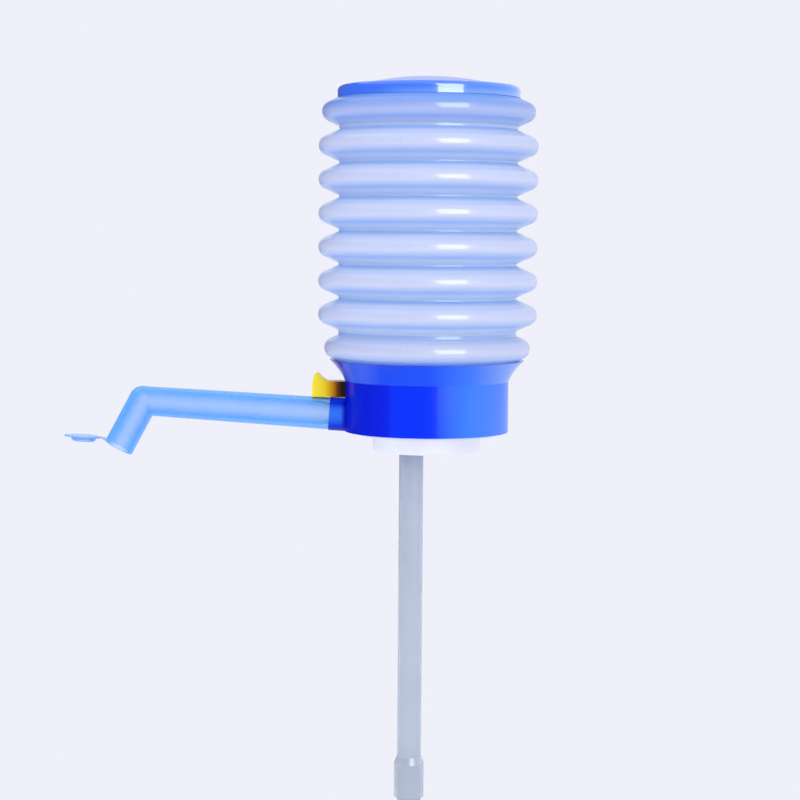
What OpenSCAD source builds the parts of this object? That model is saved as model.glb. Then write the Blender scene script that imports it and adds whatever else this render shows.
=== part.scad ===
// Hand pump for a large water jug.
// Pressing the cap squeezes the bellows, which blows air through a check valve into the jug.
// The air drives water up the dip tube, through the elbow and out of the spout.
// The yellow key opens a small vent that lets the air out again, so the flow stops.
// Origin: centre of the seat that rests on the jug's lip. +Z up, the spout points to -X.

/* [Bellows] */
// Number of crests
crest_count = 8; // [4:1:12]
// Height from one crest to the next
crest_pitch = 13.7; // [12.5:0.1:16]
// Radius over the middle crests
crest_r = 44.8; // [42:0.1:50]
// Radius over the top crest
top_crest_r = 43.5; // [42:0.1:48]
// Radius over the bottom crest
bottom_crest_r = 42.2; // [41:0.1:46]
// Radius at the bottom of the valleys
valley_r = 36.4; // [34:0.1:38]
// Radius that rounds each crest
crest_round = 4.05; // [3.5:0.05:5]
// Angle of the flanks from the horizontal radius
flank_angle = 65.6; // [60:0.5:70]
// Wall of the bellows
bellows_wall = 1.0; // [0.6:0.1:1.6]
// Height from the rim up to the middle of the bottom crest
foot_to_crest = 4.9; // [4.4:0.1:6]
// Height from the middle of the top crest up to the cap
crest_to_cap = 5.6; // [4.8:0.1:6.5]
// Depth of the straight collar under the rim
collar_depth = 4.4; // [3:0.1:6]

/* [Cap] */
// Radius of the cap
cap_r = 37.3; // [35:0.1:40]
// Height of the cap's edge
cap_h = 4.9; // [4.5:0.1:7]
// Rounding of the cap's top edge
cap_round = 2.2; // [1:0.1:2.4]
// Thickness of the cap's top
cap_top = 1.7; // [1.2:0.1:2.2]
// Wall of the cap's rim
cap_wall = 2.3; // [1.6:0.1:3]
// Radius of the domed disc on the cap
dome_r = 27; // [20:0.5:30]
// Height of the domed disc over its edge
dome_rise = 3.2; // [2.8:0.1:4]
// Thickness of the domed disc
dome_wall = 1.2; // [1:0.1:1.4]
// Air gap under the edge of the domed disc
dome_gap = 0.6; // [0.4:0.1:1]

/* [Valves] */
// Radius of each rubber flap
flap_r = 9; // [8:0.5:12]
// Thickness of each rubber flap
flap_t = 0.8; // [0.5:0.1:1.2]
// Distance each flap opens
flap_lift = 1.0; // [0.6:0.1:1.4]
// Number of air holes behind each flap
air_hole_count = 6; // [4:1:8]
// Radius of each air hole
air_hole_r = 1.5; // [1:0.1:1.8]
// Radius of the circle of air holes
air_ring_r = 5.6; // [5:0.1:6]
// Radius of the pin that holds each flap
flap_pin_r = 1.5; // [1.2:0.1:2]

/* [Housing] */
// Radius of the straight skirt
skirt_r = 33.6; // [32.5:0.1:36]
// Height of the straight skirt
skirt_h = 20.8; // [20.6:0.1:26]
// Radius of the funnel's rim
rim_r = 39.7; // [39:0.1:42]
// Height of the funnel
funnel_h = 8.4; // [8.2:0.1:11]
// Radius of the funnel's flare
flare_r = 26; // [14:0.5:30]
// Wall of the housing
shell_wall = 2.0; // [1.6:0.1:2.4]
// Thickness of the valve plate
plate_t = 2.0; // [1.5:0.1:2.4]
// Thickness of the base plate
base_t = 1.2; // [1:0.1:1.3]

/* [Neck stopper] */
// Radius of the plug that goes into the jug's neck
stopper_r = 22; // [21:0.1:24]
// Radius of the stopper's flange
flange_r = 28; // [26:0.5:29.5]
// Thickness of the stopper's flange
flange_t = 1.4; // [1:0.1:2]
// Length of the plug under its flange
stopper_len = 6.6; // [5.5:0.1:12]
// Wall of the stopper
stopper_wall = 2.2; // [1.6:0.1:3]

/* [Spout] */
// Outer radius of the spout at its outlet
spout_r = 6.1; // [5.9:0.05:6.3]
// Outer radius of the arm at the socket, from where it tapers
arm_root_r = 6.6; // [6.2:0.05:6.65]
// Wall of the spout
spout_wall = 1.0; // [0.8:0.05:1.2]
// Length of the arm from the socket to the bend
arm_len = 76.3; // [50:0.1:120]
// Angle by which the arm rises
arm_rise = 3.6; // [0:0.1:4.5]
// Length of the outlet from the bend to its rim
outlet_len = 21.9; // [16:0.1:40]
// Angle of the outlet from the vertical
outlet_lean = 28.1; // [10:0.1:45]
// Outer radius of the socket on the housing
socket_r = 6.9; // [6.7:0.05:7]
// Distance that the socket stands out from the skirt
socket_out = 6.25; // [5:0.05:8]
// Height of the socket's mouth over the bottom of the skirt
socket_h = 6.9; // [6.8:0.05:7.1]
// Radial clearance of the spout in its socket
spout_fit = 0.05; // [0.02:0.01:0.1]

/* [Spout lid] */
// Radius of the lid
lid_r = 6.15; // [6:0.05:7]
// Distance from the lid's middle to the end of its thumb lip
lid_lip = 7.8; // [7.2:0.1:9]
// Thickness of the lid
lid_t = 0.7; // [0.6:0.1:1.6]
// Depth of the ring that plugs the outlet
lid_plug_depth = 1.5; // [1:0.1:2]
// Distance from the outlet's wall to the hinge line
hinge_reach = 1.5; // [1.2:0.1:3]
// Angle that the lid is open at rest
lid_open = 155.4; // [100:0.1:165]
// Width of the strap
strap_w = 4; // [3:0.1:6]
// Thickness of the strap
strap_t = 0.7; // [0.5:0.1:0.8]

/* [Release key] */
// Width of the key
key_w = 9; // [7:0.1:10]
// Height of the key's shank
key_h = 6.3; // [6:0.1:6.4]
// Distance from the skirt to the key's front face
key_out = 13.4; // [12:0.1:16]
// Height of the horn over the shank
horn_h = 3.2; // [2:0.1:4]
// Distance that the key can be pressed
key_travel = 5; // [3:0.1:5.4]
// Radius of the vent's stem
stem_r = 1.5; // [1.2:0.1:1.8]
// Wire radius of the return spring
wire_r = 0.3; // [0.2:0.05:0.35]
// Turns of the return spring
spring_turns = 7; // [5:1:8]

/* [Dip tube] */
// Outer radius of the dip tube
tube_r = 5.0; // [4.5:0.1:5.2]
// Wall of the dip tube
tube_wall = 1.0; // [0.8:0.05:1.2]
// Length of one length of tube
tube_len = 152; // [100:1:200]
// Depth of the bell that joins two lengths
bell_depth = 14; // [10:0.5:20]
// Distance from the pump's axis to the dip tube
tube_off = 6; // [5:0.1:7]
// Length of the inlet foot under the tube
foot_len = 25; // [18:1:40]
// Number of slots in the inlet foot
slot_count = 6; // [3:1:8]

/* [Hidden] */
$fn = 96;

// Clearances: between seats, between sliding faces, between pressed parts, and where faces only must not touch
seat_gap = 0.05;
slide_gap = 0.3;
press_gap = 0.05;
skin_gap = 0.02;
// How far a cut runs past what it cuts, and how deep one form sinks into the next in the same part
past = 1;
sunk = 0.2;

// Heights, from the seat on the jug's lip up
skirt_z = flange_t;
skirt_top_z = skirt_z + skirt_h;
rim_z = skirt_top_z + funnel_h;
bottom_crest_z = rim_z + foot_to_crest;
top_crest_z = bottom_crest_z + (crest_count - 1) * crest_pitch;
cap_z = top_crest_z + crest_to_cap;
cap_top_z = cap_z + cap_h;

// Funnel: the arc that joins the skirt's top to the rim bulges inwards
flare_chord = norm([rim_r - skirt_r, funnel_h]);
flare_side = sqrt(pow(flare_r, 2) - pow(flare_chord / 2, 2));
flare_x = (skirt_r + rim_r) / 2 + flare_side * funnel_h / flare_chord;
flare_z = (skirt_top_z + rim_z) / 2 - flare_side * (rim_r - skirt_r) / flare_chord;

// Housing, inside: the valve plate is let into the wall and lies on a ledge
plate_let_in = 0.6;
ledge_w = 1.7;
ledge_t = 1.5;
ring_wall = 1.4;
well_wall = 1.2;
collar_end_gap = 0.2;
chamber_r = skirt_r - shell_wall;
plate_r = chamber_r + plate_let_in;
ledge_r = chamber_r - ledge_w;
collar_z = rim_z - collar_depth;
plate_z = collar_z - collar_end_gap - plate_t;

// Bellows, ends
neck_end_gap = 0.1;
collar_r = plate_r;
neck_r = cap_r - cap_wall - press_gap;
neck_h = cap_h - cap_top - neck_end_gap;

// Spout: its arm leaves the socket, and distances along it count outwards from the socket's mouth
socket_wall = 1.2;
socket_end_gap = 0.4;
spigot_len = 6;
spigot_end_gap = 1.0;
spigot_wall = 1.2;
arm_bore_start = 2;
bore_step = 0.1;
bore_over = 2;
bend_bulge = 0.06;
arm_tip_shrink = 0.1;
ring_gauge = 0.55;
ring_flat = 0.3;
socket_x = -(skirt_r + socket_out);
socket_z = skirt_z + socket_h;
socket_len = socket_out + skirt_r - flange_r - socket_end_gap;
spigot_r = socket_r - socket_wall;
spigot_bore_r = spigot_r - spigot_wall;
spout_bore_r = spout_r - spout_wall;
arm_bore_r = spout_bore_r - bore_step;
groove_r = spigot_r - 2 * ring_gauge + ring_flat;
bend_x = socket_x - arm_len * cos(arm_rise);
bend_z = socket_z + arm_len * sin(arm_rise);

// Lid: the hinge line lies a little beyond the outlet's rim, in the fold between two straps
lid_gap = 0.1;
fold_gap = 0.15;
hinge_rise = 0.03;
lid_plug_gap = 0.2;
lid_ring_wall = 0.9;
lid_plug_lead = 0.5;
lid_lip_r = 2.8;
hinge_x = spout_r + hinge_reach;
hinge_z = outlet_len + hinge_rise;
lid_plug_r = spout_bore_r - lid_plug_gap;

// Water elbow
elbow_arm_r = 4.0;
elbow_bore_r = 3.0;
elbow_ring_gauge = 0.7;
elbow_ring_play = 0.1;
elbow_ring_drop = 1.8;
nipple_wall = 2.0;
nipple_roof = 0.6;
nipple_drop = 9;
tube_stop_drop = 0.8;
tube_fit = 0.05;
nipple_r = tube_r + nipple_wall;
nipple_top_z = socket_z + (socket_x + tube_off) * tan(arm_rise) + elbow_arm_r + nipple_roof;
nipple_low_z = skirt_z - nipple_drop;
tube_stop_z = skirt_z - tube_stop_drop;
elbow_ring_z = skirt_z - elbow_ring_drop;

// Base plate: its hub carries the stopper, and a smaller hub holds the elbow's nipple
base_gap = 0.1;
stop_ring_w = 1.5;
stop_ring_t = 1.5;
hub_short = 1.0;
hub_wall = 1.5;
nipple_hub_wall = 1.8;
nipple_hub_len = 4;
breather_r = 2.2;
breather_ring_r = 12;
breather_angles = [-60, 0, 60];
stop_ring_r = chamber_r - stop_ring_w;
hub_len = stopper_len - hub_short;
hub_r = stopper_r - stopper_wall - base_gap;

// Release key and its vent
key_over_socket = 0.25;
key_bed_rise = 0.05;
key_in = 4.3;
key_bore_r = 2.9;
key_bore_depth = 6;
stem_hold = 3;
travel_spare = 0.5;
well_end_t = 1.5;
port_gap = 0.6;
seal_lap = 1.5;
seal_t = 1.4;
head_t = 1.0;
coil_gap = 0.15;
key_z = skirt_z + socket_h + socket_r + key_over_socket;
key_mid_z = key_z + key_h / 2;
key_face_x = -(skirt_r + key_out);
key_in_x = -(skirt_r - key_in);
well_end_x = key_in_x + key_travel + travel_spare;
port_r = stem_r + port_gap;
seal_x = well_end_x + well_end_t + seat_gap;
seal_r = port_r + seal_lap;
coil_r = key_bore_r - wire_r - coil_gap;
spring_x = key_in_x - key_bore_depth + seat_gap;
spring_len = well_end_x - seat_gap - spring_x;

// Dip tube
tube_top_gap = 0.2;
tube_end_gap = 1;
bell_wall = 1.15;
foot_lip = 2;
foot_floor = 2;
slot_w = 2;
tube_top_z = tube_stop_z - tube_top_gap;
tube_pitch = tube_len - bell_depth + tube_end_gap;
bell_r = tube_r + tube_fit + bell_wall;
foot_r = tube_r + foot_lip;

blue = "#1238e6";
pale_blue = "#8fbdf6";
milky = "#c9d6f8";

// Local frame along the spout's arm: z runs outwards, from the socket's mouth
module on_arm() {
    translate([socket_x, 0, socket_z]) rotate([0, -(90 - arm_rise), 0]) children();
}

// Local frame along the outlet: z runs towards the rim, x towards the hinge, from the bend
module on_outlet() {
    translate([bend_x, 0, bend_z]) rotate([0, -(180 - outlet_lean), 0]) children();
}

// The lid is drawn closed and turned about its hinge line to where it rests
module lid_at_rest() {
    on_outlet()
        translate([hinge_x, 0, hinge_z]) rotate([0, lid_open, 0]) translate([-hinge_x, 0, -hinge_z])
            children();
}

// Local frame along the vent's stem: z runs into the pump
module on_stem(x) {
    translate([x, 0, key_mid_z]) rotate([0, 90, 0]) children();
}

module tube(outer, inner, height) {
    difference() {
        cylinder(r = outer, h = height);
        translate([0, 0, -past]) cylinder(r = inner, h = height + 2 * past);
    }
}

// ---- Bellows ----
function crest_radius(i) = i == 0 ? bottom_crest_r : i == crest_count - 1 ? top_crest_r : crest_r;

// One crest: a round nose with two straight flanks that meet the core
module crest_section(nose_x, nose_r, core_r) {
    tangent_x = nose_x + nose_r * cos(flank_angle);
    tangent_z = nose_r * sin(flank_angle);
    root_z = tangent_z + (tangent_x - core_r) / tan(flank_angle);
    translate([nose_x, 0]) circle(r = nose_r);
    polygon([
        [core_r - past, -root_z], [core_r, -root_z], [tangent_x, -tangent_z],
        [tangent_x, tangent_z], [core_r, root_z], [core_r - past, root_z]
    ]);
}

// Half section of the bellows, drawn in by an inset for its inside
module bellows_section(inset) {
    intersection() {
        union() {
            for (i = [0 : crest_count - 1])
                translate([0, bottom_crest_z + i * crest_pitch])
                    crest_section(crest_radius(i) - crest_round, crest_round - inset, valley_r - inset);
            translate([0, rim_z]) square([valley_r - inset, cap_z - rim_z]);
        }
        translate([0, rim_z + inset]) square([crest_r + past, cap_z - rim_z - 2 * inset]);
    }
    end = inset > 0 ? past : 0;
    translate([0, collar_z - end]) square([collar_r - inset, collar_depth + 2 * inset + end]);
    translate([0, cap_z - 2 * inset]) square([neck_r - inset, neck_h + 2 * inset + end]);
}

module bellows() {
    color(milky)
        rotate_extrude() difference() {
            bellows_section(0);
            bellows_section(bellows_wall);
        }
}

// ---- Cap, with the intake valve under it ----
module air_holes(z, depth) {
    for (i = [0 : air_hole_count - 1])
        rotate([0, 0, i * 360 / air_hole_count])
            translate([air_ring_r, 0, z]) cylinder(r = air_hole_r, h = depth);
}

module top_cap() {
    color("#739ef2")
        translate([0, 0, cap_z]) difference() {
            rotate_extrude() {
                square([cap_r, cap_h - cap_round]);
                square([cap_r - cap_round, cap_h]);
                translate([cap_r - cap_round, cap_h - cap_round]) circle(r = cap_round);
            }
            translate([0, 0, -past]) cylinder(r = cap_r - cap_wall, h = cap_h - cap_top + past);
            cylinder(r = flap_pin_r, h = cap_h + past);
            air_holes(0, cap_h + past);
        }
}

// A shallow spherical disc on four low feet, which leave the air gap under its edge
module cap_dome() {
    ball_r = (pow(dome_r, 2) + pow(dome_rise, 2)) / (2 * dome_rise);
    edge_w = 3;
    pad_r = 1.2;
    pad_in = 2;
    color("#dfe2fb") {
        translate([0, 0, cap_top_z + dome_gap])
            difference() {
                intersection() {
                    translate([0, 0, dome_rise - ball_r]) sphere(r = ball_r, $fn = 180);
                    cylinder(r = dome_r + past, h = dome_rise + past);
                }
                intersection() {
                    translate([0, 0, dome_rise - ball_r - dome_wall]) sphere(r = ball_r, $fn = 180);
                    translate([0, 0, -past]) cylinder(r = dome_r - edge_w, h = dome_rise + past);
                }
            }
        for (a = [45 : 90 : 315])
            rotate([0, 0, a]) translate([dome_r - pad_in, 0, cap_top_z]) cylinder(r = pad_r, h = dome_gap);
    }
}

// Flap and pin shared by both valves: they hang under a plate whose underside is at z
module flap(z) {
    translate([0, 0, z - seat_gap - flap_t]) tube(flap_r, flap_pin_r + slide_gap, flap_t);
}

module flap_pin(z, plate) {
    head_lip = 1.6;
    head_h = 1.0;
    rivet_lip = 1.0;
    rivet_h = 0.9;
    low_z = z - seat_gap - flap_t - flap_lift - head_h - seat_gap;
    translate([0, 0, low_z]) cylinder(r = flap_pin_r + head_lip, h = head_h);
    translate([0, 0, low_z]) cylinder(r = flap_pin_r - skin_gap, h = z + plate - low_z + rivet_h / 2);
    translate([0, 0, z + plate]) cylinder(r = flap_pin_r + rivet_lip, h = rivet_h);
}

module intake_flap() {
    color("#3a3f4a") flap(cap_top_z - cap_top);
}

module intake_pin() {
    color("white") flap_pin(cap_top_z - cap_top, cap_top);
}

// ---- Housing ----
// Hollow of the funnel's arc, which stops where the skirt begins
module flare_section(grow) {
    intersection() {
        translate([flare_x, flare_z]) circle(r = flare_r + grow, $fn = 180);
        translate([0, skirt_top_z]) square([rim_r + past, funnel_h + past]);
    }
}

// Half section of the turned shell: skirt, funnel, ledges and the groove behind the rim
module shell_section() {
    difference() {
        polygon([[0, skirt_z], [skirt_r, skirt_z], [skirt_r, skirt_top_z], [rim_r, rim_z], [0, rim_z]]);
        flare_section(0);
        translate([0, skirt_z - past]) square([chamber_r, base_t + past]);
        translate([0, skirt_z]) square([stop_ring_r, skirt_h]);
        translate([0, skirt_z + base_t + stop_ring_t])
            square([chamber_r, plate_z - ledge_t - skirt_z - base_t - stop_ring_t]);
        translate([0, skirt_z]) square([ledge_r, skirt_h + funnel_h]);
        translate([0, plate_z]) square([plate_r + press_gap, rim_z]);
        difference() {
            translate([plate_r + press_gap + ring_wall, plate_z + plate_t]) square([rim_r, rim_z]);
            flare_section(shell_wall);
        }
    }
}

// Space that the key slides in, grown by a wall for the well round it
module key_space(grow, from_x, to_x) {
    translate([from_x, -key_w / 2 - slide_gap - grow, key_z - slide_gap - grow])
        cube([to_x - from_x, key_w + 2 * slide_gap + 2 * grow, key_h + 2 * slide_gap + 2 * grow]);
}

module housing() {
    color(blue)
        difference() {
            union() {
                rotate_extrude() shell_section();
                on_arm() {
                    translate([0, 0, -socket_len]) cylinder(r = socket_r, h = socket_len);
                    translate([0, -key_w / 2, -socket_out - shell_wall])
                        cube([socket_r + key_bed_rise, key_w, socket_out + shell_wall]);
                }
                key_space(well_wall, -skirt_r + shell_wall / 2, well_end_x + well_end_t);
            }
            on_arm() translate([0, 0, -socket_len - past])
                cylinder(r = spigot_r + spout_fit, h = socket_len + 2 * past);
            key_space(0, -skirt_r - past, well_end_x);
            on_stem(well_end_x - past) cylinder(r = port_r, h = well_end_t + 2 * past);
        }
}

// ---- Valve plate, with the discharge valve under it ----
module valve_plate() {
    color(pale_blue) {
        difference() {
            translate([0, 0, plate_z]) cylinder(r = plate_r, h = plate_t);
            translate([0, 0, plate_z - past]) cylinder(r = flap_pin_r, h = plate_t + 2 * past);
            air_holes(plate_z - past, plate_t + 2 * past);
        }
        translate([0, 0, plate_z + plate_t - sunk])
            tube(collar_r - bellows_wall - press_gap, collar_r - bellows_wall - ring_wall, collar_depth);
    }
}

module discharge_flap() {
    color("#3a3f4a") flap(plate_z);
}

module discharge_pin() {
    color("white") flap_pin(plate_z, plate_t);
}

// ---- Base plate and the stopper it carries ----
module base_plate() {
    color(pale_blue)
        difference() {
            union() {
                translate([0, 0, skirt_z]) cylinder(r = chamber_r - base_gap, h = base_t);
                translate([0, 0, skirt_z - hub_len]) tube(hub_r, hub_r - hub_wall, hub_len + base_t / 2);
                translate([-tube_off, 0, skirt_z - nipple_hub_len])
                    cylinder(r = nipple_r + nipple_hub_wall, h = nipple_hub_len + base_t);
            }
            translate([-tube_off, 0, skirt_z - nipple_hub_len - past])
                cylinder(r = nipple_r + base_gap, h = nipple_hub_len + base_t + 2 * past);
            for (a = breather_angles)
                rotate([0, 0, a]) translate([breather_ring_r, 0, skirt_z - past])
                    cylinder(r = breather_r, h = base_t + 2 * past);
            on_arm() translate([0, 0, -socket_len - slide_gap])
                cylinder(r = socket_r + base_gap, h = socket_len);
        }
}

module neck_stopper() {
    lead = 1.2;
    color("white")
        difference() {
            union() {
                cylinder(r = flange_r, h = flange_t);
                translate([0, 0, lead - stopper_len]) cylinder(r = stopper_r, h = stopper_len);
                translate([0, 0, -stopper_len]) cylinder(r1 = stopper_r - lead / 2, r2 = stopper_r, h = lead);
            }
            translate([0, 0, -stopper_len - past])
                cylinder(r = stopper_r - stopper_wall, h = stopper_len + flange_t + 2 * past);
        }
}

// ---- Water elbow ----
module water_elbow() {
    reach = (-tube_off - socket_x) / cos(arm_rise);
    color(blue)
        difference() {
            union() {
                translate([-tube_off, 0, nipple_low_z])
                    cylinder(r = nipple_r, h = nipple_top_z - nipple_low_z);
                on_arm() translate([0, 0, -reach]) cylinder(r = elbow_arm_r, h = reach - socket_len + past);
                on_arm() translate([0, 0, -socket_len])
                    cylinder(r = spigot_r, h = socket_len - spigot_len - spigot_end_gap);
            }
            on_arm() translate([0, 0, -reach]) cylinder(r = elbow_bore_r, h = reach);
            translate([-tube_off, 0, nipple_low_z - past])
                cylinder(r = tube_r + tube_fit, h = tube_stop_z - nipple_low_z + past);
            translate([-tube_off, 0, tube_stop_z - past])
                cylinder(r = tube_r - tube_wall, h = nipple_top_z - elbow_arm_r - tube_stop_z + past);
            translate([-tube_off, 0, elbow_ring_z - elbow_ring_gauge - elbow_ring_play])
                tube(
                    nipple_r + past, nipple_r - 2 * elbow_ring_gauge,
                    2 * (elbow_ring_gauge + elbow_ring_play)
                );
        }
}

module elbow_seal() {
    color("#3a3f4a")
        translate([-tube_off, 0, elbow_ring_z])
            rotate_extrude()
                translate([nipple_r - elbow_ring_gauge + seat_gap, 0]) circle(r = elbow_ring_gauge - skin_gap);
}

// ---- Spout ----
module arm_cone(from_z, to_z) {
    cylinder(r1 = arm_root_r, r2 = spout_r - arm_tip_shrink, h = to_z - from_z);
}

module spout() {
    groove_z = -spigot_len / 2;
    color(pale_blue)
        difference() {
            union() {
                on_arm() {
                    translate([0, 0, -spigot_len]) cylinder(r = spigot_r, h = spigot_len + past);
                    translate([0, 0, lid_gap]) arm_cone(lid_gap, arm_len);
                }
                translate([bend_x, 0, bend_z]) sphere(r = spout_r + bend_bulge);
                on_outlet() {
                    cylinder(r = spout_r, h = outlet_len);
                    translate([spout_r - spout_wall / 2, -strap_w / 2, outlet_len - seat_gap - strap_t])
                        cube([hinge_reach - fold_gap + spout_wall / 2, strap_w, strap_t]);
                }
            }
            on_arm() {
                translate([0, 0, arm_bore_start])
                    cylinder(r = arm_bore_r, h = arm_len - arm_bore_start + bore_over);
                translate([0, 0, -spigot_len - past])
                    cylinder(r = spigot_bore_r, h = spigot_len + arm_bore_start + 2 * past);
                translate([0, 0, groove_z - ring_gauge - seat_gap])
                    tube(spigot_r + past, groove_r, 2 * (ring_gauge + seat_gap));
            }
            on_outlet() translate([0, 0, -bore_over])
                cylinder(r = spout_bore_r, h = outlet_len + bore_over + past);
        }
}

module spout_seal() {
    color("#3a3f4a")
        on_arm() translate([0, 0, -spigot_len / 2])
            rotate_extrude() intersection() {
                translate([spigot_r - ring_gauge + skin_gap, 0]) circle(r = ring_gauge);
                translate([groove_r + skin_gap, -past]) square([2 * ring_gauge, 2 * past]);
            }
}

module spout_lid() {
    low_z = outlet_len + lid_gap;
    color("#9cc4f4")
        lid_at_rest() {
            translate([0, 0, low_z])
                linear_extrude(lid_t) {
                    circle(r = lid_r);
                    translate([lid_lip_r - lid_lip, -lid_lip_r]) square([lid_lip, 2 * lid_lip_r]);
                    translate([lid_lip_r - lid_lip, 0]) circle(r = lid_lip_r);
                }
            translate([0, 0, low_z - lid_plug_depth]) rotate_extrude() polygon([
                [lid_plug_r - lid_ring_wall, 0], [lid_plug_r - lid_plug_lead, 0], [lid_plug_r, lid_plug_lead],
                [lid_plug_r, lid_plug_depth + lid_t / 2], [lid_plug_r - lid_ring_wall, lid_plug_depth + lid_t / 2],
            ]);
        }
}

module lid_strap() {
    color("#9cc4f4")
        lid_at_rest()
            difference() {
                translate([lid_r - past, -strap_w / 2, outlet_len + lid_gap])
                    cube([hinge_x - lid_r + past - fold_gap, strap_w, strap_t]);
                translate([0, 0, outlet_len + lid_gap - past]) cylinder(r = lid_r, h = lid_t + 2 * past);
            }
}

// ---- Release key and its vent ----
function arc(cx, cz, r, span, steps) = [
    for (i = [0 : steps])
        let (a = span[0] + (span[1] - span[0]) * i / steps)
        [cx + r * cos(a), cz + r * sin(a)]
];

// Side view of the key: a flat shank with a leaning horn at the front, scooped out for the finger.
// Places are counted from the foot of the key's face, and heights from the shank's top.
module key_section() {
    shank_z = key_z + key_h;
    face_bend = [0.2, -1.2];
    horn_r = 1.3;
    horn_in = 2.05;
    horn_arc = [160, 45];
    scoop_r = 9;
    scoop_at = [10.15, 8.25];
    scoop_arc = [216.4, 245.2];
    polygon(concat(
        [[key_in_x, shank_z], [key_in_x, key_z], [key_face_x, key_z]],
        [[key_face_x, shank_z] + face_bend],
        arc(key_face_x + horn_in, shank_z + horn_h - horn_r, horn_r, horn_arc, 8),
        arc(key_face_x + scoop_at[0], shank_z + scoop_at[1], scoop_r, scoop_arc, 10)
    ));
}

module release_key() {
    color("#ebe132")
        difference() {
            rotate([90, 0, 0]) linear_extrude(height = key_w, center = true) key_section();
            on_stem(key_in_x - key_bore_depth) cylinder(r = key_bore_r, h = key_bore_depth + past);
            on_stem(key_in_x - key_bore_depth - stem_hold)
                cylinder(r = stem_r + skin_gap, h = stem_hold + past);
        }
}

module release_stem() {
    start_x = key_in_x - key_bore_depth - stem_hold;
    color("white") {
        on_stem(start_x) cylinder(r = stem_r, h = seal_x + seal_t + head_t / 2 - start_x);
        on_stem(seal_x + seal_t) cylinder(r = seal_r, h = head_t);
    }
}

module release_seal() {
    color("#3a3f4a") on_stem(seal_x) tube(seal_r, stem_r + skin_gap, seal_t);
}

// Round wire along a helix, as rings of a many-sided tube with closed ends
module release_spring() {
    sides = 6;
    steps_per_turn = 14;
    steps = steps_per_turn * spring_turns;
    run = spring_len - 2 * wire_r;
    function ring(i) = [
        for (j = [0 : sides - 1])
            let (
                a = 360 * spring_turns * i / steps,
                b = 360 * j / sides,
                r = coil_r + wire_r * cos(b)
            )
            [r * cos(a), r * sin(a), wire_r + run * i / steps + wire_r * sin(b)]
    ];
    points = [for (i = [0 : steps]) each ring(i)];
    sidewalls = [
        for (i = [0 : steps - 1], j = [0 : sides - 1])
            let (k = (j + 1) % sides)
            [i * sides + j, i * sides + k, (i + 1) * sides + k, (i + 1) * sides + j]
    ];
    start = [[for (j = [0 : sides - 1]) j]];
    stop = [[for (j = [sides - 1 : -1 : 0]) steps * sides + j]];
    color("silver") on_stem(spring_x)
        polyhedron(points = points, faces = concat(sidewalls, start, stop), convexity = 10);
}

// ---- Dip tube ----
// One length of tube: plain at the top, belled at the bottom to take the next one
module dip_tube(top_z) {
    cone_h = 3;
    low_z = top_z - tube_len;
    color("#e4e8ee")
        translate([-tube_off, 0, 0])
            difference() {
                union() {
                    translate([0, 0, low_z]) cylinder(r = tube_r, h = tube_len);
                    translate([0, 0, low_z]) cylinder(r = bell_r, h = bell_depth);
                    translate([0, 0, low_z + bell_depth]) cylinder(r1 = bell_r, r2 = tube_r, h = cone_h);
                }
                translate([0, 0, low_z - past]) cylinder(r = tube_r - tube_wall, h = tube_len + 2 * past);
                translate([0, 0, low_z - past]) cylinder(r = tube_r + tube_fit, h = bell_depth + past);
            }
}

module dip_tube_upper() {
    dip_tube(tube_top_z);
}

module dip_tube_middle() {
    dip_tube(tube_top_z - tube_pitch);
}

module dip_tube_lower() {
    dip_tube(tube_top_z - 2 * tube_pitch);
}

// Slotted foot that keeps the tube's end off the bottom of the jug
module inlet_foot() {
    top_z = tube_top_z - 2 * tube_pitch - tube_len;
    spigot_h = bell_depth - tube_end_gap;
    color("#e4e8ee")
        translate([-tube_off, 0, top_z - foot_len])
            difference() {
                union() {
                    cylinder(r = foot_r, h = foot_len);
                    cylinder(r = tube_r, h = foot_len + spigot_h);
                }
                translate([0, 0, foot_floor]) cylinder(r = tube_r - tube_wall, h = foot_len + spigot_h);
                for (i = [0 : slot_count - 1])
                    rotate([0, 0, i * 360 / slot_count])
                        translate([0, -slot_w / 2, -past]) cube([foot_r + past, slot_w, foot_len / 2 + past]);
            }
}

bellows();
top_cap();
cap_dome();
intake_flap();
intake_pin();
housing();
valve_plate();
discharge_flap();
discharge_pin();
base_plate();
neck_stopper();
water_elbow();
elbow_seal();
spout();
spout_seal();
spout_lid();
lid_strap();
release_key();
release_stem();
release_seal();
release_spring();
dip_tube_upper();
dip_tube_middle();
dip_tube_lower();
inlet_foot();
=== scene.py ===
"""Hand pump for a large water jug: finishes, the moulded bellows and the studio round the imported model."""
import math

import bmesh
import bpy
from mathutils import Matrix, Vector


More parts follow.
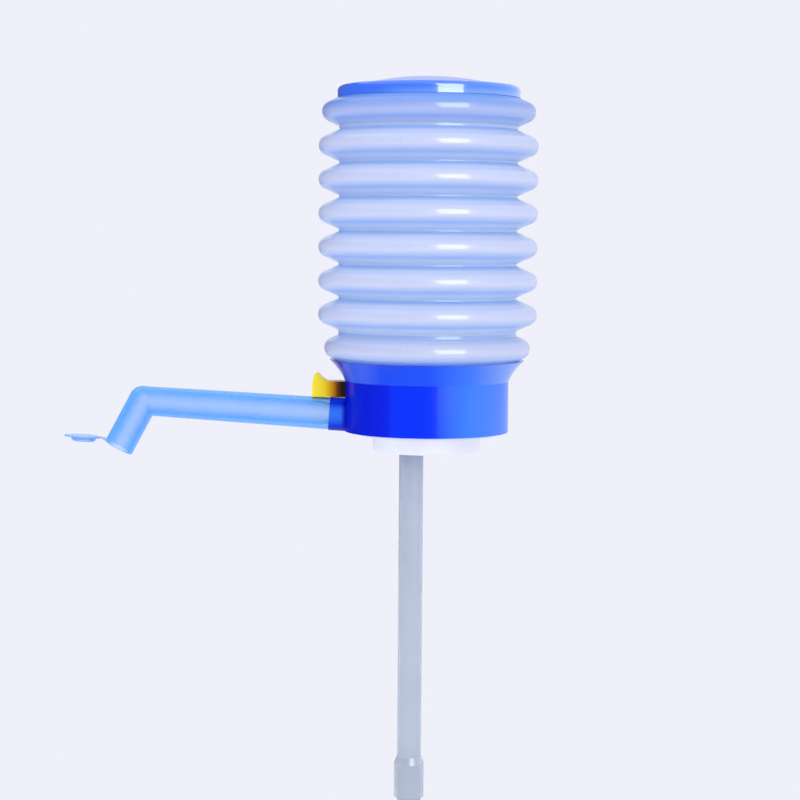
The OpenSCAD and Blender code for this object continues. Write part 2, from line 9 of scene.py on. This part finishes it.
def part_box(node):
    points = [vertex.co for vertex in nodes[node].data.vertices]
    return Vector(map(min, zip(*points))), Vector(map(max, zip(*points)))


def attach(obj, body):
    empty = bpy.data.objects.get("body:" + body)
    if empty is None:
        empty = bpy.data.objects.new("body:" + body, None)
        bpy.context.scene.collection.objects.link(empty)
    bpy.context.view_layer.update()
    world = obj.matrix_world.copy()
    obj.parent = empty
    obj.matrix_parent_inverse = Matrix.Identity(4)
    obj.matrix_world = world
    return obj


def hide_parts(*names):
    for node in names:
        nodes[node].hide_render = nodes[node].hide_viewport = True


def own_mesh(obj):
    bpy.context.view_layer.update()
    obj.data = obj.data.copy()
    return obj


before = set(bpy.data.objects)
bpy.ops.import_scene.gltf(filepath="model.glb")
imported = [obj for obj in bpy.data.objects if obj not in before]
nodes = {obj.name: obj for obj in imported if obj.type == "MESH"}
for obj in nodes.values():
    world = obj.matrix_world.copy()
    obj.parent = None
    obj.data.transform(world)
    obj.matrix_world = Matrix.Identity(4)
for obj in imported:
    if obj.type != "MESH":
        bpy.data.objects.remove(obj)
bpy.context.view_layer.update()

# ---- Camera ----
# A camera at the height of the bellows' lower half, 0.84 m in front of the pump and tilted down a little.
# Its lens, place and turn were worked out from the outlines of the crests, the skirt and the spout.
PICTURE_PX = 800
FOCAL_PX = 2045.4
SENSOR_MM = 36
CAMERA_AT = (-0.0226, -0.8375, 0.0833)
YAW, PITCH, ROLL = (math.radians(a) for a in (0.803, 4.730, 0.433))

forward = Vector((math.sin(YAW) * math.cos(PITCH), math.cos(YAW) * math.cos(PITCH), -math.sin(PITCH)))
level = Vector((math.cos(YAW), -math.sin(YAW), 0))
upright = level.cross(forward)
right = level * math.cos(ROLL) + upright * math.sin(ROLL)
up = upright * math.cos(ROLL) - level * math.sin(ROLL)
turn = Matrix((right, up, -forward)).transposed()
lens = bpy.data.cameras.new("camera")
lens.sensor_width = SENSOR_MM
lens.lens = SENSOR_MM * FOCAL_PX / PICTURE_PX
lens.clip_end = 20
camera = bpy.data.objects.new("camera", lens)
camera.matrix_world = Matrix.Translation(CAMERA_AT) @ turn.to_4x4()
bpy.context.scene.collection.objects.link(camera)
bpy.context.scene.camera = camera

# ---- Studio ----
# A pale floor under the inlet foot, which fades into a pale room of the same colour. The room lights the pump from
# all round and soft lamps add to it. A dark screen round the left and the front is met by reflections alone.
ROOM_COLOUR = (0.862, 0.871, 0.955, 1)
FLOOR_SIZE = 6.0
FLOOR_NEAR, FLOOR_FAR = 0.25, 0.8
FLOOR_NEAR_GLOW = 0.5
SCREEN_RADIUS, SCREEN_LOW, SCREEN_HIGH = 2.4, -1.2, 2.0
SCREEN_FROM, SCREEN_TO, SCREEN_STEP = -164, 8, 4
FLOOR_TINT = (0.74, 0.75, 0.8, 1)
SCREEN_TINT = (0.05, 0.05, 0.06, 1)
LAMPS_AIM_Z = 0.07


def link(tree, source, target):
    tree.links.new(source, target)


def add(tree, kind, **values):
    """A shader node, with its properties or its inputs set by name."""
    made = tree.nodes.new("ShaderNode" + kind)
    for name, value in values.items():
        if hasattr(made, name):
            setattr(made, name, value)
        else:
            made.inputs[name.replace("_", " ")].default_value = value
    return made


def direction(azimuth, elevation):
    """A way out from the pump. Azimuth is counted to the right from the camera, in degrees."""
    a, e = math.radians(azimuth), math.radians(elevation)
    return Vector((math.sin(a) * math.cos(e), -math.cos(a) * math.cos(e), math.sin(e)))


room = bpy.data.worlds.new("room")
room.use_nodes = True
bpy.context.scene.world = room
tree = room.node_tree
tree.nodes.clear()
backlight = add(tree, "Background", Color=ROOM_COLOUR)
link(tree, backlight.outputs[0], add(tree, "OutputWorld").inputs["Surface"])

floor_form = bmesh.new()
bmesh.ops.create_grid(floor_form, x_segments=8, y_segments=8, size=FLOOR_SIZE / 2)
floor_mesh = bpy.data.meshes.new("floor")
floor_form.to_mesh(floor_mesh)
floor_form.free()
floor = bpy.data.objects.new("floor", floor_mesh)
floor.location.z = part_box("inlet_foot")[0].z
bpy.context.scene.collection.objects.link(floor)
floor_paint = bpy.data.materials.new("floor_paint")
floor_paint.use_nodes = True
tree = floor_paint.node_tree
tree.nodes.clear()
place = add(tree, "TexCoord")
reach = add(tree, "VectorMath", operation="LENGTH")
link(tree, place.outputs["Object"], reach.inputs[0])
fade = add(tree, "MapRange", interpolation_type="SMOOTHSTEP", From_Min=FLOOR_NEAR, From_Max=FLOOR_FAR,
           To_Min=FLOOR_NEAR_GLOW, To_Max=1.0)
link(tree, reach.outputs["Value"], fade.inputs["Value"])
path = add(tree, "LightPath")
seen = add(tree, "Math", operation="SUBTRACT")
seen.inputs[0].default_value = 1.0
link(tree, path.outputs["Is Diffuse Ray"], seen.inputs[1])
share = add(tree, "Math", operation="MULTIPLY")
link(tree, fade.outputs[0], share.inputs[0])
link(tree, seen.outputs[0], share.inputs[1])
matt = add(tree, "BsdfDiffuse", Color=FLOOR_TINT)
glow = add(tree, "Emission", Color=ROOM_COLOUR)
blend = add(tree, "MixShader")
link(tree, share.outputs[0], blend.inputs[0])
link(tree, matt.outputs[0], blend.inputs[1])
link(tree, glow.outputs[0], blend.inputs[2])
link(tree, blend.outputs[0], add(tree, "OutputMaterial").inputs["Surface"])
floor_mesh.materials.append(floor_paint)

screen_form = bmesh.new()
previous = None
for azimuth in range(SCREEN_FROM, SCREEN_TO + 1, SCREEN_STEP):
    way = direction(azimuth, 0) * SCREEN_RADIUS
    pair = [screen_form.verts.new((way.x, way.y, z)) for z in (SCREEN_LOW, SCREEN_HIGH)]
    if previous:
        screen_form.faces.new((previous[0], pair[0], pair[1], previous[1]))
    previous = pair
screen_mesh = bpy.data.meshes.new("screen")
screen_form.to_mesh(screen_mesh)
screen_form.free()
screen = bpy.data.objects.new("screen", screen_mesh)
bpy.context.scene.collection.objects.link(screen)
screen_paint = bpy.data.materials.new("screen_paint")
screen_paint.use_nodes = True
screen_paint.node_tree.nodes["Principled BSDF"].inputs["Base Color"].default_value = SCREEN_TINT
screen_mesh.materials.append(screen_paint)
for kind in ("camera", "diffuse", "transmission", "shadow"):
    setattr(screen, "visible_" + kind, False)


def softbox(name, azimuth, elevation, distance, size, brightness, seen_in="diffuse"):
    """A flat white lamp that faces the pump. It lights surfaces softly, or shows only as a reflection."""
    way = direction(azimuth, elevation)
    lamp = bpy.data.lights.new(name, "AREA")
    lamp.shape = "RECTANGLE"
    lamp.size, lamp.size_y = size
    lamp.energy = brightness * math.pi * size[0] * size[1]
    holder = bpy.data.objects.new(name, lamp)
    turn = way.to_track_quat("Z", "Y").to_matrix().to_4x4()
    holder.matrix_world = Matrix.Translation(way * distance + Vector((0, 0, LAMPS_AIM_Z))) @ turn
    for kind in ("camera", "transmission", "diffuse", "glossy"):
        setattr(holder, "visible_" + kind, kind == seen_in)
    bpy.context.scene.collection.objects.link(holder)


softbox("window", azimuth=25, elevation=18, distance=1.35, size=(0.78, 1.15), brightness=8, seen_in="glossy")
softbox("key", azimuth=25, elevation=35, distance=1.4, size=(1.2, 1.2), brightness=1.1)
softbox("left", azimuth=-60, elevation=15, distance=1.5, size=(1.4, 1.4), brightness=0.6)
softbox("rim", azimuth=150, elevation=15, distance=1.5, size=(1.2, 1.6), brightness=0.6)

# ---- Bellows ----
# Blow-moulded from milky, lightly tinted polyethylene: eight round crests, thin where the plastic was blown
# outwards and thicker, so bluer, in the valleys. The valleys also carry painted shade, and each crest's lower flank
# has a band of painted shade. The two halves of the mould leave a fine seam down each side.
# Its collar is pinched in the housing's rim and its neck is held in the cap. The real one folds down as the cap is
# pressed; this skin is built at rest, fixed to the base.
MM = 0.001  # the sizes of the pieces are written in millimetres, and the model is in metres
CREST_COUNT = 8
CREST_PITCH = 13.7
CREST_R, TOP_CREST_R, BOTTOM_CREST_R = 44.8, 43.5, 42.2
VALLEY_R = 36.4
CREST_ROUND, VALLEY_ROUND, CORNER_ROUND, RIM_ROUND = 4.05, 0.6, 0.3, 0.4
FLANK_ANGLE = math.radians(65.6)
RIM_Z, BOTTOM_CREST_Z, CAP_Z = 30.6, 35.5, 137.0
COLLAR_R, COLLAR_Z = 32.2, 26.2
NECK_R, NECK_TOP_Z = 34.95, 140.1
BELLOWS_SIDES, ARC_STEPS = 192, 9
SEAM_AZIMUTH = math.radians(-105)
SEAM_HEIGHT, SEAM_WIDTH = 0.14, 0.45
SEAM_CUTS = [math.radians(d) for d in (-0.7, -0.35, 0, 0.35, 0.7)]
SEAM_CLEARANCE = math.radians(0.93)
FLANK_MARGIN = 2


def rounded(corners):
    """Points along a line whose corners (r, z, radius) are rounded by arcs that touch both sides."""
    points = []
    for i, (x, z, radius) in enumerate(corners):
        corner = Vector((x, z))
        if radius == 0 or i in (0, len(corners) - 1):
            points.append(corner)
            continue
        before = (Vector(corners[i - 1][:2]) - corner).normalized()
        after = (Vector(corners[i + 1][:2]) - corner).normalized()
        half = before.angle(after) / 2
        centre = corner + (before + after).normalized() * radius / math.sin(half)
        first = corner + before * radius / math.tan(half) - centre
        last = corner + after * radius / math.tan(half) - centre
        sweep = math.atan2(first.x * last.y - first.y * last.x, first.dot(last))
        for k in range(ARC_STEPS + 1):
            c, s = math.cos(sweep * k / ARC_STEPS), math.sin(sweep * k / ARC_STEPS)
            points.append(centre + Vector((first.x * c - first.y * s, first.x * s + first.y * c)))
    return points


def bellows_outline():
    """The bellows' line from the collar up to the neck."""
    corners = [(COLLAR_R, COLLAR_Z, 0), (COLLAR_R, RIM_Z, RIM_ROUND), (VALLEY_R, RIM_Z, RIM_ROUND)]
    for i in range(CREST_COUNT):
        radius = {0: BOTTOM_CREST_R, CREST_COUNT - 1: TOP_CREST_R}.get(i, CREST_R)
        nose_x = radius - CREST_ROUND
        apex_x = nose_x + CREST_ROUND / math.cos(FLANK_ANGLE)
        reach = (apex_x - VALLEY_R) / math.tan(FLANK_ANGLE)
        middle = BOTTOM_CREST_Z + i * CREST_PITCH
        if i == 0:
            corners[-1] = (apex_x - (middle - RIM_Z) * math.tan(FLANK_ANGLE), RIM_Z, CORNER_ROUND)
        else:
            corners.append((VALLEY_R, middle - reach, VALLEY_ROUND))
        corners.append((apex_x, middle, CREST_ROUND))
        if i == CREST_COUNT - 1:
            corners.append((apex_x - (CAP_Z - middle) * math.tan(FLANK_ANGLE), CAP_Z, CORNER_ROUND))
        else:
            corners.append((VALLEY_R, middle + reach, VALLEY_ROUND))
    corners += [(NECK_R, CAP_Z, CORNER_ROUND), (NECK_R, NECK_TOP_Z, 0)]
    return rounded(corners)


def lathe(name, outline, angles):
    """A line of (r, z) points in millimetres, turned about the pump's axis into a thin skin."""
    form = bmesh.new()
    rings = [
        [form.verts.new((p.x * MM * math.cos(a), p.x * MM * math.sin(a), p.y * MM)) for p in outline] for a in angles
    ]
    for i, ring in enumerate(rings):
        other = rings[(i + 1) % len(rings)]
        for j in range(len(outline) - 1):
            form.faces.new((ring[j], other[j], other[j + 1], ring[j + 1]))
    bmesh.ops.recalc_face_normals(form, faces=form.faces)
    for face in form.faces:
        face.smooth = True
    data = bpy.data.meshes.new(name)
    form.to_mesh(data)
    form.free()
    made = bpy.data.objects.new(name, data)
    bpy.context.scene.collection.objects.link(made)
    return made


bellows_angles = [2 * math.pi * i / BELLOWS_SIDES + SEAM_AZIMUTH + SEAM_CLEARANCE for i in range(BELLOWS_SIDES)]
for side in (SEAM_AZIMUTH, SEAM_AZIMUTH + math.pi):
    bellows_angles += [side + cut for cut in SEAM_CUTS]
bellows_angles = sorted(a % (2 * math.pi) for a in bellows_angles)
bellows = lathe("bellows_skin", bellows_outline(), bellows_angles)

# How many folds up a point lies, for its tint. The moulds' seam stands a little proud of the crests and flanks.
fold = bellows.data.attributes.new("fold", "FLOAT", "POINT")
for vertex in bellows.data.vertices:
    fold.data[vertex.index].value = (vertex.co.z / MM - BOTTOM_CREST_Z) / CREST_PITCH + 0.5
    radius = math.hypot(vertex.co.x, vertex.co.y) / MM
    if radius > VALLEY_R + FLANK_MARGIN:
        angle = math.atan2(vertex.co.y, vertex.co.x)
        off = min(abs(math.remainder(angle - SEAM_AZIMUTH, 2 * math.pi)),
                  abs(math.remainder(angle - SEAM_AZIMUTH - math.pi, 2 * math.pi)))
        rise = SEAM_HEIGHT * math.exp(-((off * radius / SEAM_WIDTH) ** 2))
        vertex.co.x *= 1 + rise / radius
        vertex.co.y *= 1 + rise / radius


def shade(colour):
    """A colour written as #rrggbb, as the shader's linear values."""
    parts = [int(colour[i:i + 2], 16) / 255 for i in (1, 3, 5)]
    return tuple(p / 12.92 if p <= 0.04045 else ((p + 0.055) / 1.055) ** 2.4 for p in parts) + (1,)


GRAIN = 900.0
DRIFT_SCALE, DRIFT_DETAIL, GRAIN_DETAIL = 45.0, 3.0, 2.0
GLOSS_SWING = 0.16
RELIEF_DEPTH = 0.2 * MM


def moulding_group():
    """Moulded plastic: slow drifts in its tint, and a fine unevenness left by the mould."""
    group = bpy.data.node_groups.new("moulding", "ShaderNodeTree")
    for name, kind, value in (("Tint", "NodeSocketColor", (1, 1, 1, 1)), ("Drift", "NodeSocketFloat", 0.1),
                              ("Gloss", "NodeSocketFloat", 0.2), ("Grain", "NodeSocketFloat", GRAIN)):
        socket = group.interface.new_socket(name, in_out="INPUT", socket_type=kind)
        socket.default_value = value
    for name, kind in (("Tint", "NodeSocketColor"), ("Roughness", "NodeSocketFloat"), ("Height", "NodeSocketFloat")):
        group.interface.new_socket(name, in_out="OUTPUT", socket_type=kind)
    start, end = group.nodes.new("NodeGroupInput"), group.nodes.new("NodeGroupOutput")
    place = add(group, "TexCoord")
    slow = add(group, "TexNoise", Scale=DRIFT_SCALE, Detail=DRIFT_DETAIL)
    fine = add(group, "TexNoise", Detail=GRAIN_DETAIL)
    for noise in (slow, fine):
        link(group, place.outputs["Object"], noise.inputs["Vector"])
    link(group, start.outputs["Grain"], fine.inputs["Scale"])
    centred = add(group, "Math", operation="SUBTRACT")
    centred.inputs[1].default_value = 0.5
    link(group, slow.outputs["Fac"], centred.inputs[0])
    amount = add(group, "Math", operation="MULTIPLY")
    link(group, centred.outputs[0], amount.inputs[0])
    link(group, start.outputs["Drift"], amount.inputs[1])
    value = add(group, "Math", operation="ADD")
    value.inputs[1].default_value = 1.0
    link(group, amount.outputs[0], value.inputs[0])
    tinted = add(group, "HueSaturation")
    link(group, start.outputs["Tint"], tinted.inputs["Color"])
    link(group, value.outputs[0], tinted.inputs["Value"])
    link(group, tinted.outputs[0], end.inputs["Tint"])
    rough = add(group, "Math", operation="MULTIPLY_ADD")
    rough.inputs[1].default_value = GLOSS_SWING
    link(group, fine.outputs["Fac"], rough.inputs[0])
    link(group, start.outputs["Gloss"], rough.inputs[2])
    link(group, rough.outputs[0], end.inputs["Roughness"])
    link(group, fine.outputs["Fac"], end.inputs["Height"])
    return group


moulding = moulding_group()


def plastic(name, tint, gloss=0.2, drift=0.12, grain=GRAIN, bump=0.03, **sockets):
    """A moulded material. The tint is a #rrggbb colour, or a function that builds one in the tree."""
    made = bpy.data.materials.new(name)
    made.use_nodes = True
    tree = made.node_tree
    body = tree.nodes["Principled BSDF"]
    surface = tree.nodes.new("ShaderNodeGroup")
    surface.node_tree = moulding
    surface.inputs["Gloss"].default_value = gloss
    surface.inputs["Drift"].default_value = drift
    surface.inputs["Grain"].default_value = grain
    if callable(tint):
        link(tree, tint(tree), surface.inputs["Tint"])
    else:
        surface.inputs["Tint"].default_value = shade(tint)
    relief = add(tree, "Bump", Strength=bump, Distance=RELIEF_DEPTH)
    link(tree, surface.outputs["Tint"], body.inputs["Base Color"])
    link(tree, surface.outputs["Roughness"], body.inputs["Roughness"])
    link(tree, surface.outputs["Height"], relief.inputs["Height"])
    link(tree, relief.outputs[0], body.inputs["Normal"])
    for socket, value in sockets.items():
        body.inputs[socket.replace("_", " ")].default_value = value
    return made


def ramp(tree, factor, stops):
    """A colour along a factor, from (position, #rrggbb) stops."""
    made = add(tree, "ValToRGB")
    marks = made.color_ramp.elements
    marks[0].position, marks[1].position = stops[0][0], stops[-1][0]
    for position, colour in stops[1:-1]:
        marks.new(position)
    for mark, (position, colour) in zip(marks, stops):
        mark.color = shade(colour)
    link(tree, factor, made.inputs[0])
    return made.outputs["Color"]


# Up one fold, from the middle of a valley, over the crest, to the middle of the next valley. The dark band at 0.235,
# on the crest's lower flank, is painted shade; the dark band at 0.95, by the valley, is thicker plastic and painted
# shade.
FOLD_TINT_AND_SHADE = [
    (0.0, "#e4f3ff"), (0.135, "#f0f8ff"), (0.235, "#b8d6ff"), (0.33, "#d3e4ff"), (0.455, "#f0f2fd"),
    (0.62, "#e4e9f9"), (0.84, "#eef5ff"), (0.95, "#b8daff"), (1.0, "#d0eaff"),
]
SHOULDER_FROM, SHOULDER_TO = 7.3, 7.68  # in folds, over the upper half of the top crest
# A painted reflection of the blue cap, over thicker plastic, multiplied into the top shoulder's tint.
SHOULDER_THICKNESS_AND_REFLECTION = (0.36, 0.58, 0.95, 1)
MILKINESS = 0.45


def bellows_tint_and_shade(tree):
    """The fold's tint and painted shade; deeper on the top shoulder, for thicker plastic and a painted reflection of
    the cap.
    """
    height = add(tree, "Attribute", attribute_name="fold")
    within = add(tree, "Math", operation="FRACT")
    link(tree, height.outputs["Fac"], within.inputs[0])
    under_cap = add(tree, "MapRange", From_Min=SHOULDER_FROM, From_Max=SHOULDER_TO)
    link(tree, height.outputs["Fac"], under_cap.inputs["Value"])
    deeper = add(tree, "Mix", data_type="RGBA", blend_type="MULTIPLY")
    link(tree, under_cap.outputs[0], deeper.inputs["Factor"])
    link(tree, ramp(tree, within.outputs[0], FOLD_TINT_AND_SHADE), deeper.inputs[6])
    deeper.inputs[7].default_value = SHOULDER_THICKNESS_AND_REFLECTION
    return deeper.outputs[2]


def see_through(material, share):
    """Lets a share of the light through a thin skin, scattered, in the plastic's own tint."""
    tree = material.node_tree
    body = tree.nodes["Principled BSDF"]
    through = add(tree, "BsdfTranslucent")
    link(tree, body.inputs["Base Color"].links[0].from_socket, through.inputs["Color"])
    both = add(tree, "MixShader", Fac=share)
    link(tree, body.outputs[0], both.inputs[1])
    link(tree, through.outputs[0], both.inputs[2])
    link(tree, both.outputs[0], tree.nodes["Material Output"].inputs["Surface"])
    return material


milky = plastic("bellows_plastic", bellows_tint_and_shade, gloss=0.3, drift=0.06, Coat_Weight=1.0, Coat_Roughness=0.06)
bellows.data.materials.append(see_through(milky, MILKINESS))
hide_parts("bellows")
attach(bellows, "base")
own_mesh(bellows)

# ---- Cap and its domed disc ----
# A press cap injection-moulded in glossy blue, slightly clear polypropylene, snapped over the bellows' neck.
# The pale disc stands off it on four low feet, so the palm never closes the air holes under it.
CAP_R = 37.3
# Painted light: the cap's blue is painted paler to the right and, between these heights, along its lower edge.
CAP_EDGE_LOW, CAP_EDGE_HIGH = 0.6, 2.6
CAP_BLUE_AND_LIGHT = [(0.0, "#386cec"), (0.3, "#3f76ee"), (0.6, "#4880f0"), (1.0, "#4c90f2")]
CAP_EDGE_BLUE_AND_LIGHT = [(0.0, "#3a70ec"), (0.2, "#4078ec"), (0.35, "#6294f0"), (0.6, "#70a0f4"), (1.0, "#7cb0f8")]


def finish(material, *names):
    """Gives CAD nodes their material."""
    for name in names:
        data = nodes[name].data
        data.materials.clear()
        data.materials.append(material)


def placed(tree, axis, start, end):
    """How far a point of the piece lies from start to end along an axis, both in millimetres, as 0 to 1."""
    place = add(tree, "TexCoord")
    split = add(tree, "SeparateXYZ")
    link(tree, place.outputs["Object"], split.inputs[0])
    along = add(tree, "MapRange", From_Min=start * MM, From_Max=end * MM)
    link(tree, split.outputs[axis], along.inputs["Value"])
    return along.outputs[0]


def cap_tint_and_light(tree):
    """Painted light: paler along the lower edge, more so to the right, where the light enters."""
    across = placed(tree, "X", -CAP_R, CAP_R)
    both = add(tree, "Mix", data_type="RGBA")
    link(tree, placed(tree, "Z", CAP_Z + CAP_EDGE_HIGH, CAP_Z + CAP_EDGE_LOW), both.inputs["Factor"])
    link(tree, ramp(tree, across, CAP_BLUE_AND_LIGHT), both.inputs[6])
    link(tree, ramp(tree, across, CAP_EDGE_BLUE_AND_LIGHT), both.inputs[7])
    return both.outputs[2]


cap_blue = plastic("cap_plastic", cap_tint_and_light, gloss=0.06, Coat_Weight=0.8, Coat_Roughness=0.04,
                   Subsurface_Weight=0.15, Subsurface_Radius=(0.4, 0.7, 1.4), Subsurface_Scale=0.003)
disc_lilac = plastic("dome_plastic", "#aab8ee", gloss=0.4, Specular_IOR_Level=0.15,
                     Subsurface_Weight=0.2, Subsurface_Scale=0.003)
finish(cap_blue, "top_cap")
finish(disc_lilac, "cap_dome")

# ---- Housing ----
# One injection moulding in deep blue, slightly clear polypropylene: a straight skirt, the funnel that holds the
# bellows' collar, the socket for the spout and the well that the key slides in.
# Painted light: the skirt goes from deep blue on the spout's side to paler on the right, in two steps.
SKIRT_BLUE_AND_LIGHT = [
    (0.0, "#0112bc"), (0.263, "#0120da"), (0.275, "#012ee4"), (0.545, "#0132f0"), (0.557, "#064aff"),
    (0.74, "#3f80ff"), (1.0, "#5888fa"),
]
# Painted light: the funnel is painted paler towards the right.
FUNNEL_BLUE_AND_LIGHT = [
    (0.0, "#3a62e4"), (0.145, "#345ee8"), (0.22, "#1a4cec"), (0.5, "#1c56f4"), (0.75, "#3f7ef8"), (1.0, "#84a8f6"),
]
# Painted highlight and shade: the socket is lighter along its middle and darker above, under the key, and below.
SOCKET_BLUE_AND_LIGHT = [(0.0, "#0116b4"), (0.17, "#0a3cde"), (0.35, "#2b6eec"), (0.5, "#3278f0")]
SKIRT_R, SKIRT_TOP_Z = 33.6, 22.2
SOCKET_R, SOCKET_Z = 6.9, 8.3
TINT_EDGE, SOCKET_EDGE = 0.3, 1.5  # how softly one shade goes over into the next


def housing_tint_and_light(tree):
    """Painted light: deep blue on the spout's side and paler to the right, in steps, for reflections and light
    through the wall. The funnel is painted paler than the skirt, for light through it from the bellows, and the
    socket's wall has a painted highlight along its middle, darker above and below."""
    across = placed(tree, "X", -SKIRT_R, SKIRT_R)
    both = add(tree, "Mix", data_type="RGBA")
    link(tree, placed(tree, "Z", SKIRT_TOP_Z - TINT_EDGE, SKIRT_TOP_Z + TINT_EDGE), both.inputs["Factor"])
    link(tree, ramp(tree, across, SKIRT_BLUE_AND_LIGHT), both.inputs[6])
    link(tree, ramp(tree, across, FUNNEL_BLUE_AND_LIGHT), both.inputs[7])
    off_middle = add(tree, "Math", operation="PINGPONG")
    off_middle.inputs[1].default_value = 0.5
    link(tree, placed(tree, "Z", SOCKET_Z - SOCKET_R, SOCKET_Z + SOCKET_R), off_middle.inputs[0])
    all_over = add(tree, "Mix", data_type="RGBA")
    link(tree, placed(tree, "X", -SKIRT_R, -SKIRT_R - SOCKET_EDGE), all_over.inputs["Factor"])
    link(tree, both.outputs[2], all_over.inputs[6])
    link(tree, ramp(tree, off_middle.outputs[0], SOCKET_BLUE_AND_LIGHT), all_over.inputs[7])
    return all_over.outputs[2]


housing_blue = plastic("housing_plastic", housing_tint_and_light, gloss=0.12, drift=0.08, Specular_IOR_Level=0.12)
finish(housing_blue, "housing")

# ---- Plates and elbow ----
# Injection-moulded in pale clear blue: the plate that shuts the bellows and carries the check valve, the plate
# that closes the housing's underside, and the elbow that turns the water from the dip tube into the spout.
plate_blue = plastic("plate_plastic", "#8fbdf6", gloss=0.18)
elbow_blue = plastic("elbow_plastic", "#2350e8", gloss=0.16)
finish(plate_blue, "valve_plate", "base_plate")
finish(elbow_blue, "water_elbow")

# ---- Valves and seals ----
# Two dark rubber flaps hang on white pins, one under the cap's air holes and one under the valve plate. The O-rings
# and the vent's seal are of black rubber, a little smoother than the flaps.
RUBBER_GRAIN, SILICONE_GRAIN = 2500.0, 1500.0
rubber = plastic("flap_rubber", "#30343c", gloss=0.5, grain=RUBBER_GRAIN, bump=0.1)
seal_black = plastic("seal_rubber", "#23262c", gloss=0.42, grain=RUBBER_GRAIN, bump=0.08)
pin_white = plastic("pin_plastic", "#f0f1f4", gloss=0.25)
finish(rubber, "intake_flap", "discharge_flap")
finish(seal_black, "elbow_seal", "spout_seal", "release_seal")
finish(pin_white, "intake_pin", "discharge_pin", "release_stem")

# ---- Neck stopper ----
# A soft white silicone plug, moulded in one piece and pressed over the base plate's hub. Its flange rests on the
# jug's lip and its body seals in the neck.
silicone = plastic("stopper_rubber", "#f1f2f6", gloss=0.42, grain=SILICONE_GRAIN, bump=0.06,
                   Subsurface_Weight=0.3, Subsurface_Scale=0.002)
finish(silicone, "neck_stopper")

# ---- Spout, lid and strap ----
# A clear blue polyethylene tube with a sharp bend near its outlet. It turns in the housing's socket on an O-ring.
# The small lid is moulded with its strap, which is welded to the outlet's rim.
TURNED_AWAY = 0.6  # the Layer Weight's facing from which a wall counts as turned away


def clear_film(material, tint, middle, edge):
    """Lets sight through a clear wall: the most where it is met square on, and the least where it turns away."""
    tree = material.node_tree
    body = tree.nodes["Principled BSDF"]
    turned = add(tree, "LayerWeight", Blend=0.5)
    share = add(tree, "MapRange", From_Max=TURNED_AWAY, To_Min=middle, To_Max=edge)
    link(tree, turned.outputs["Facing"], share.inputs["Value"])
    both = add(tree, "MixShader")
    link(tree, share.outputs[0], both.inputs[0])
    link(tree, body.outputs[0], both.inputs[1])
    link(tree, add(tree, "BsdfTransparent", Color=shade(tint)).outputs[0], both.inputs[2])
    link(tree, both.outputs[0], tree.nodes["Material Output"].inputs["Surface"])


spout_blue = plastic("spout_plastic", "#68b8ff", gloss=0.2, Coat_Weight=0.3, Coat_Roughness=0.1)
lid_blue = plastic("lid_plastic", "#86bdf8", gloss=0.15)
clear_film(spout_blue, "#fafdff", middle=0.8, edge=0.15)
clear_film(lid_blue, "#f4f9ff", middle=0.6, edge=0.2)
finish(spout_blue, "spout")
finish(lid_blue, "spout_lid", "lid_strap")

# ---- Release key ----
# A push key in yellow polypropylene with a scooped top and a horn for the finger. It slides in the housing's well
# on a steel spring. It is painted darker, amber then brown, towards the blue well: painted shade where it enters it.
KEY_END_X, KEY_MOUTH_X = -47.0, -34.8
# Yellow, with painted shade growing darker towards the mouth of the well.
KEY_YELLOW_AND_SHADE = [
    (0.0, "#f8e63c"), (0.4, "#f0d626"), (0.58, "#e2b00a"), (0.72, "#c88204"), (0.86, "#6e3c04"), (1.0, "#2e1a04"),
]


def key_tint_and_shade(tree):
    return ramp(tree, placed(tree, "X", KEY_END_X, KEY_MOUTH_X), KEY_YELLOW_AND_SHADE)


key_yellow = plastic("key_plastic", key_tint_and_shade, gloss=0.14, Specular_IOR_Level=0.15,
                     Subsurface_Weight=0.15, Subsurface_Radius=(1.2, 1.0, 0.3), Subsurface_Scale=0.003)
steel = plastic("spring_steel", "#b9bcc2", gloss=0.18, Metallic=1.0)
finish(key_yellow, "release_key")
finish(steel, "release_spring")

# ---- Dip tube ----
# Three lengths of clear, colourless tube, each belled at its lower end to take the next, and a slotted foot
# that keeps the end off the jug's bottom.
tube_clear = plastic("tube_plastic", "#dfe7f2", gloss=0.1, Transmission_Weight=0.55, IOR=1.5)
foot_milky = plastic("foot_plastic", "#e3e9f2", gloss=0.2, Transmission_Weight=0.3, IOR=1.5)
finish(tube_clear, "dip_tube_upper", "dip_tube_middle", "dip_tube_lower")
finish(foot_milky, "inlet_foot")

# ---- View transform ----
bpy.context.scene.view_settings.view_transform = "Standard"
